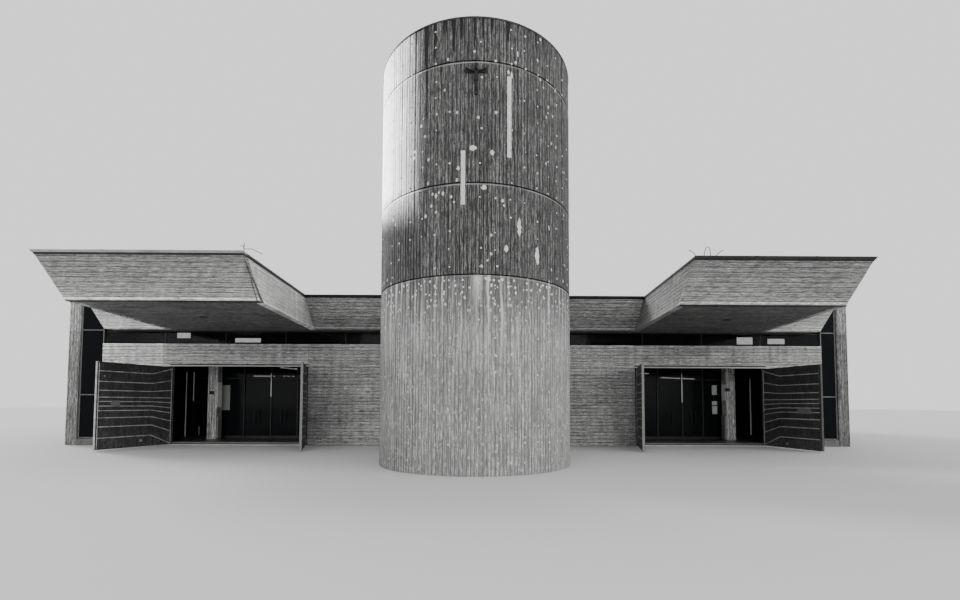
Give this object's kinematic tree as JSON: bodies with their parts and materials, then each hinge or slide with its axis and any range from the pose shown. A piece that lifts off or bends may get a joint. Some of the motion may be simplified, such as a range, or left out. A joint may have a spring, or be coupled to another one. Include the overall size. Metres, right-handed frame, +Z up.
{
  "type": "modern concrete church building",
  "caption": "Single-storey concrete church with a round tower in front, two leaning canopies over gated entrances, a glazed hall behind and swinging entrance gates.",
  "frame": {"origin": "centre of the overall box, on the ground", "axes": "+X along the front to the viewer's right, +Y from the front to the back, +Z up"},
  "size_m": [30.24, 23.3448, 10.53],
  "materials": {
    "concrete": "board-marked cast concrete",
    "roof_concrete": "weathered cast concrete",
    "screed": "smooth dark floor",
    "glass": "dark clear glazing",
    "gate_paint": "dark matt paint",
    "dark_iron": "dull black"
  },
  "bodies": {
    "building": {"tower_lift_1": "concrete", "tower_lift_2": "concrete", "tower_lift_3": "concrete", "tower_lift_4": "concrete", "tower_roof": "roof_concrete", "main_roof": "roof_concrete", "canopy_slab_left": "roof_concrete", "canopy_slab_right": "roof_concrete", "wall_cross": "dark_iron", "low_fascia_centre": "concrete", "low_fascia_left": "concrete", "low_fascia_right": "concrete", "rear_fascia": "concrete", "canopy_front_left": "concrete", "canopy_outer_side_left": "concrete", "canopy_inner_side_left": "concrete", "front_wall_left": "concrete", "lintel_left": "concrete", "roof_end_left": "concrete", "side_roof_left": "concrete", "porch_column_left": "concrete", "side_plinth_left": "concrete", "side_pier_left_1": "concrete", "side_pier_left_2": "concrete", "side_pier_left_3": "concrete", "side_pier_left_4": "concrete", "side_glass_left": "glass", "entrance_screen_left": "glass", "canopy_front_right": "concrete", "canopy_outer_side_right": "concrete", "canopy_inner_side_right": "concrete", "front_wall_right": "concrete", "lintel_right": "concrete", "roof_end_right": "concrete", "side_roof_right": "concrete", "porch_column_right": "concrete", "side_plinth_right": "concrete", "side_pier_right_1": "concrete", "side_pier_right_2": "concrete", "side_pier_right_3": "concrete", "side_pier_right_4": "concrete", "side_glass_right": "glass", "entrance_screen_right": "glass", "front_wall_centre": "concrete", "rear_wall": "concrete", "clerestory_front": "glass", "clerestory_rear": "glass", "hall_floor": "screed"},
    "gate_left_outer": {"gate_left_outer": "gate_paint"},
    "gate_left_inner": {"gate_left_inner": "gate_paint"},
    "gate_right_outer": {"gate_right_outer": "gate_paint"},
    "gate_right_inner": {"gate_right_inner": "gate_paint"}
  },
  "joints": [
    {"name": "gate_left_outer_hinge", "type": "hinge", "parent": "building", "child": "gate_left_outer", "pos_m": [-11.105, -4.0426, 0], "axis": [0, 0, 1], "range_deg": [0, 111]},
    {"name": "gate_left_inner_hinge", "type": "hinge", "parent": "building", "child": "gate_left_inner", "pos_m": [-5.97, -4.0426, 0], "axis": [0, 0, 1], "range_deg": [-107, 0]},
    {"name": "gate_right_outer_hinge", "type": "hinge", "parent": "building", "child": "gate_right_outer", "pos_m": [11.765, -4.0426, 0], "axis": [0, 0, 1], "range_deg": [-102, 0]},
    {"name": "gate_right_inner_hinge", "type": "hinge", "parent": "building", "child": "gate_right_inner", "pos_m": [6.84, -4.0426, 0], "axis": [0, 0, 1], "range_deg": [0, 105]}
  ]
}
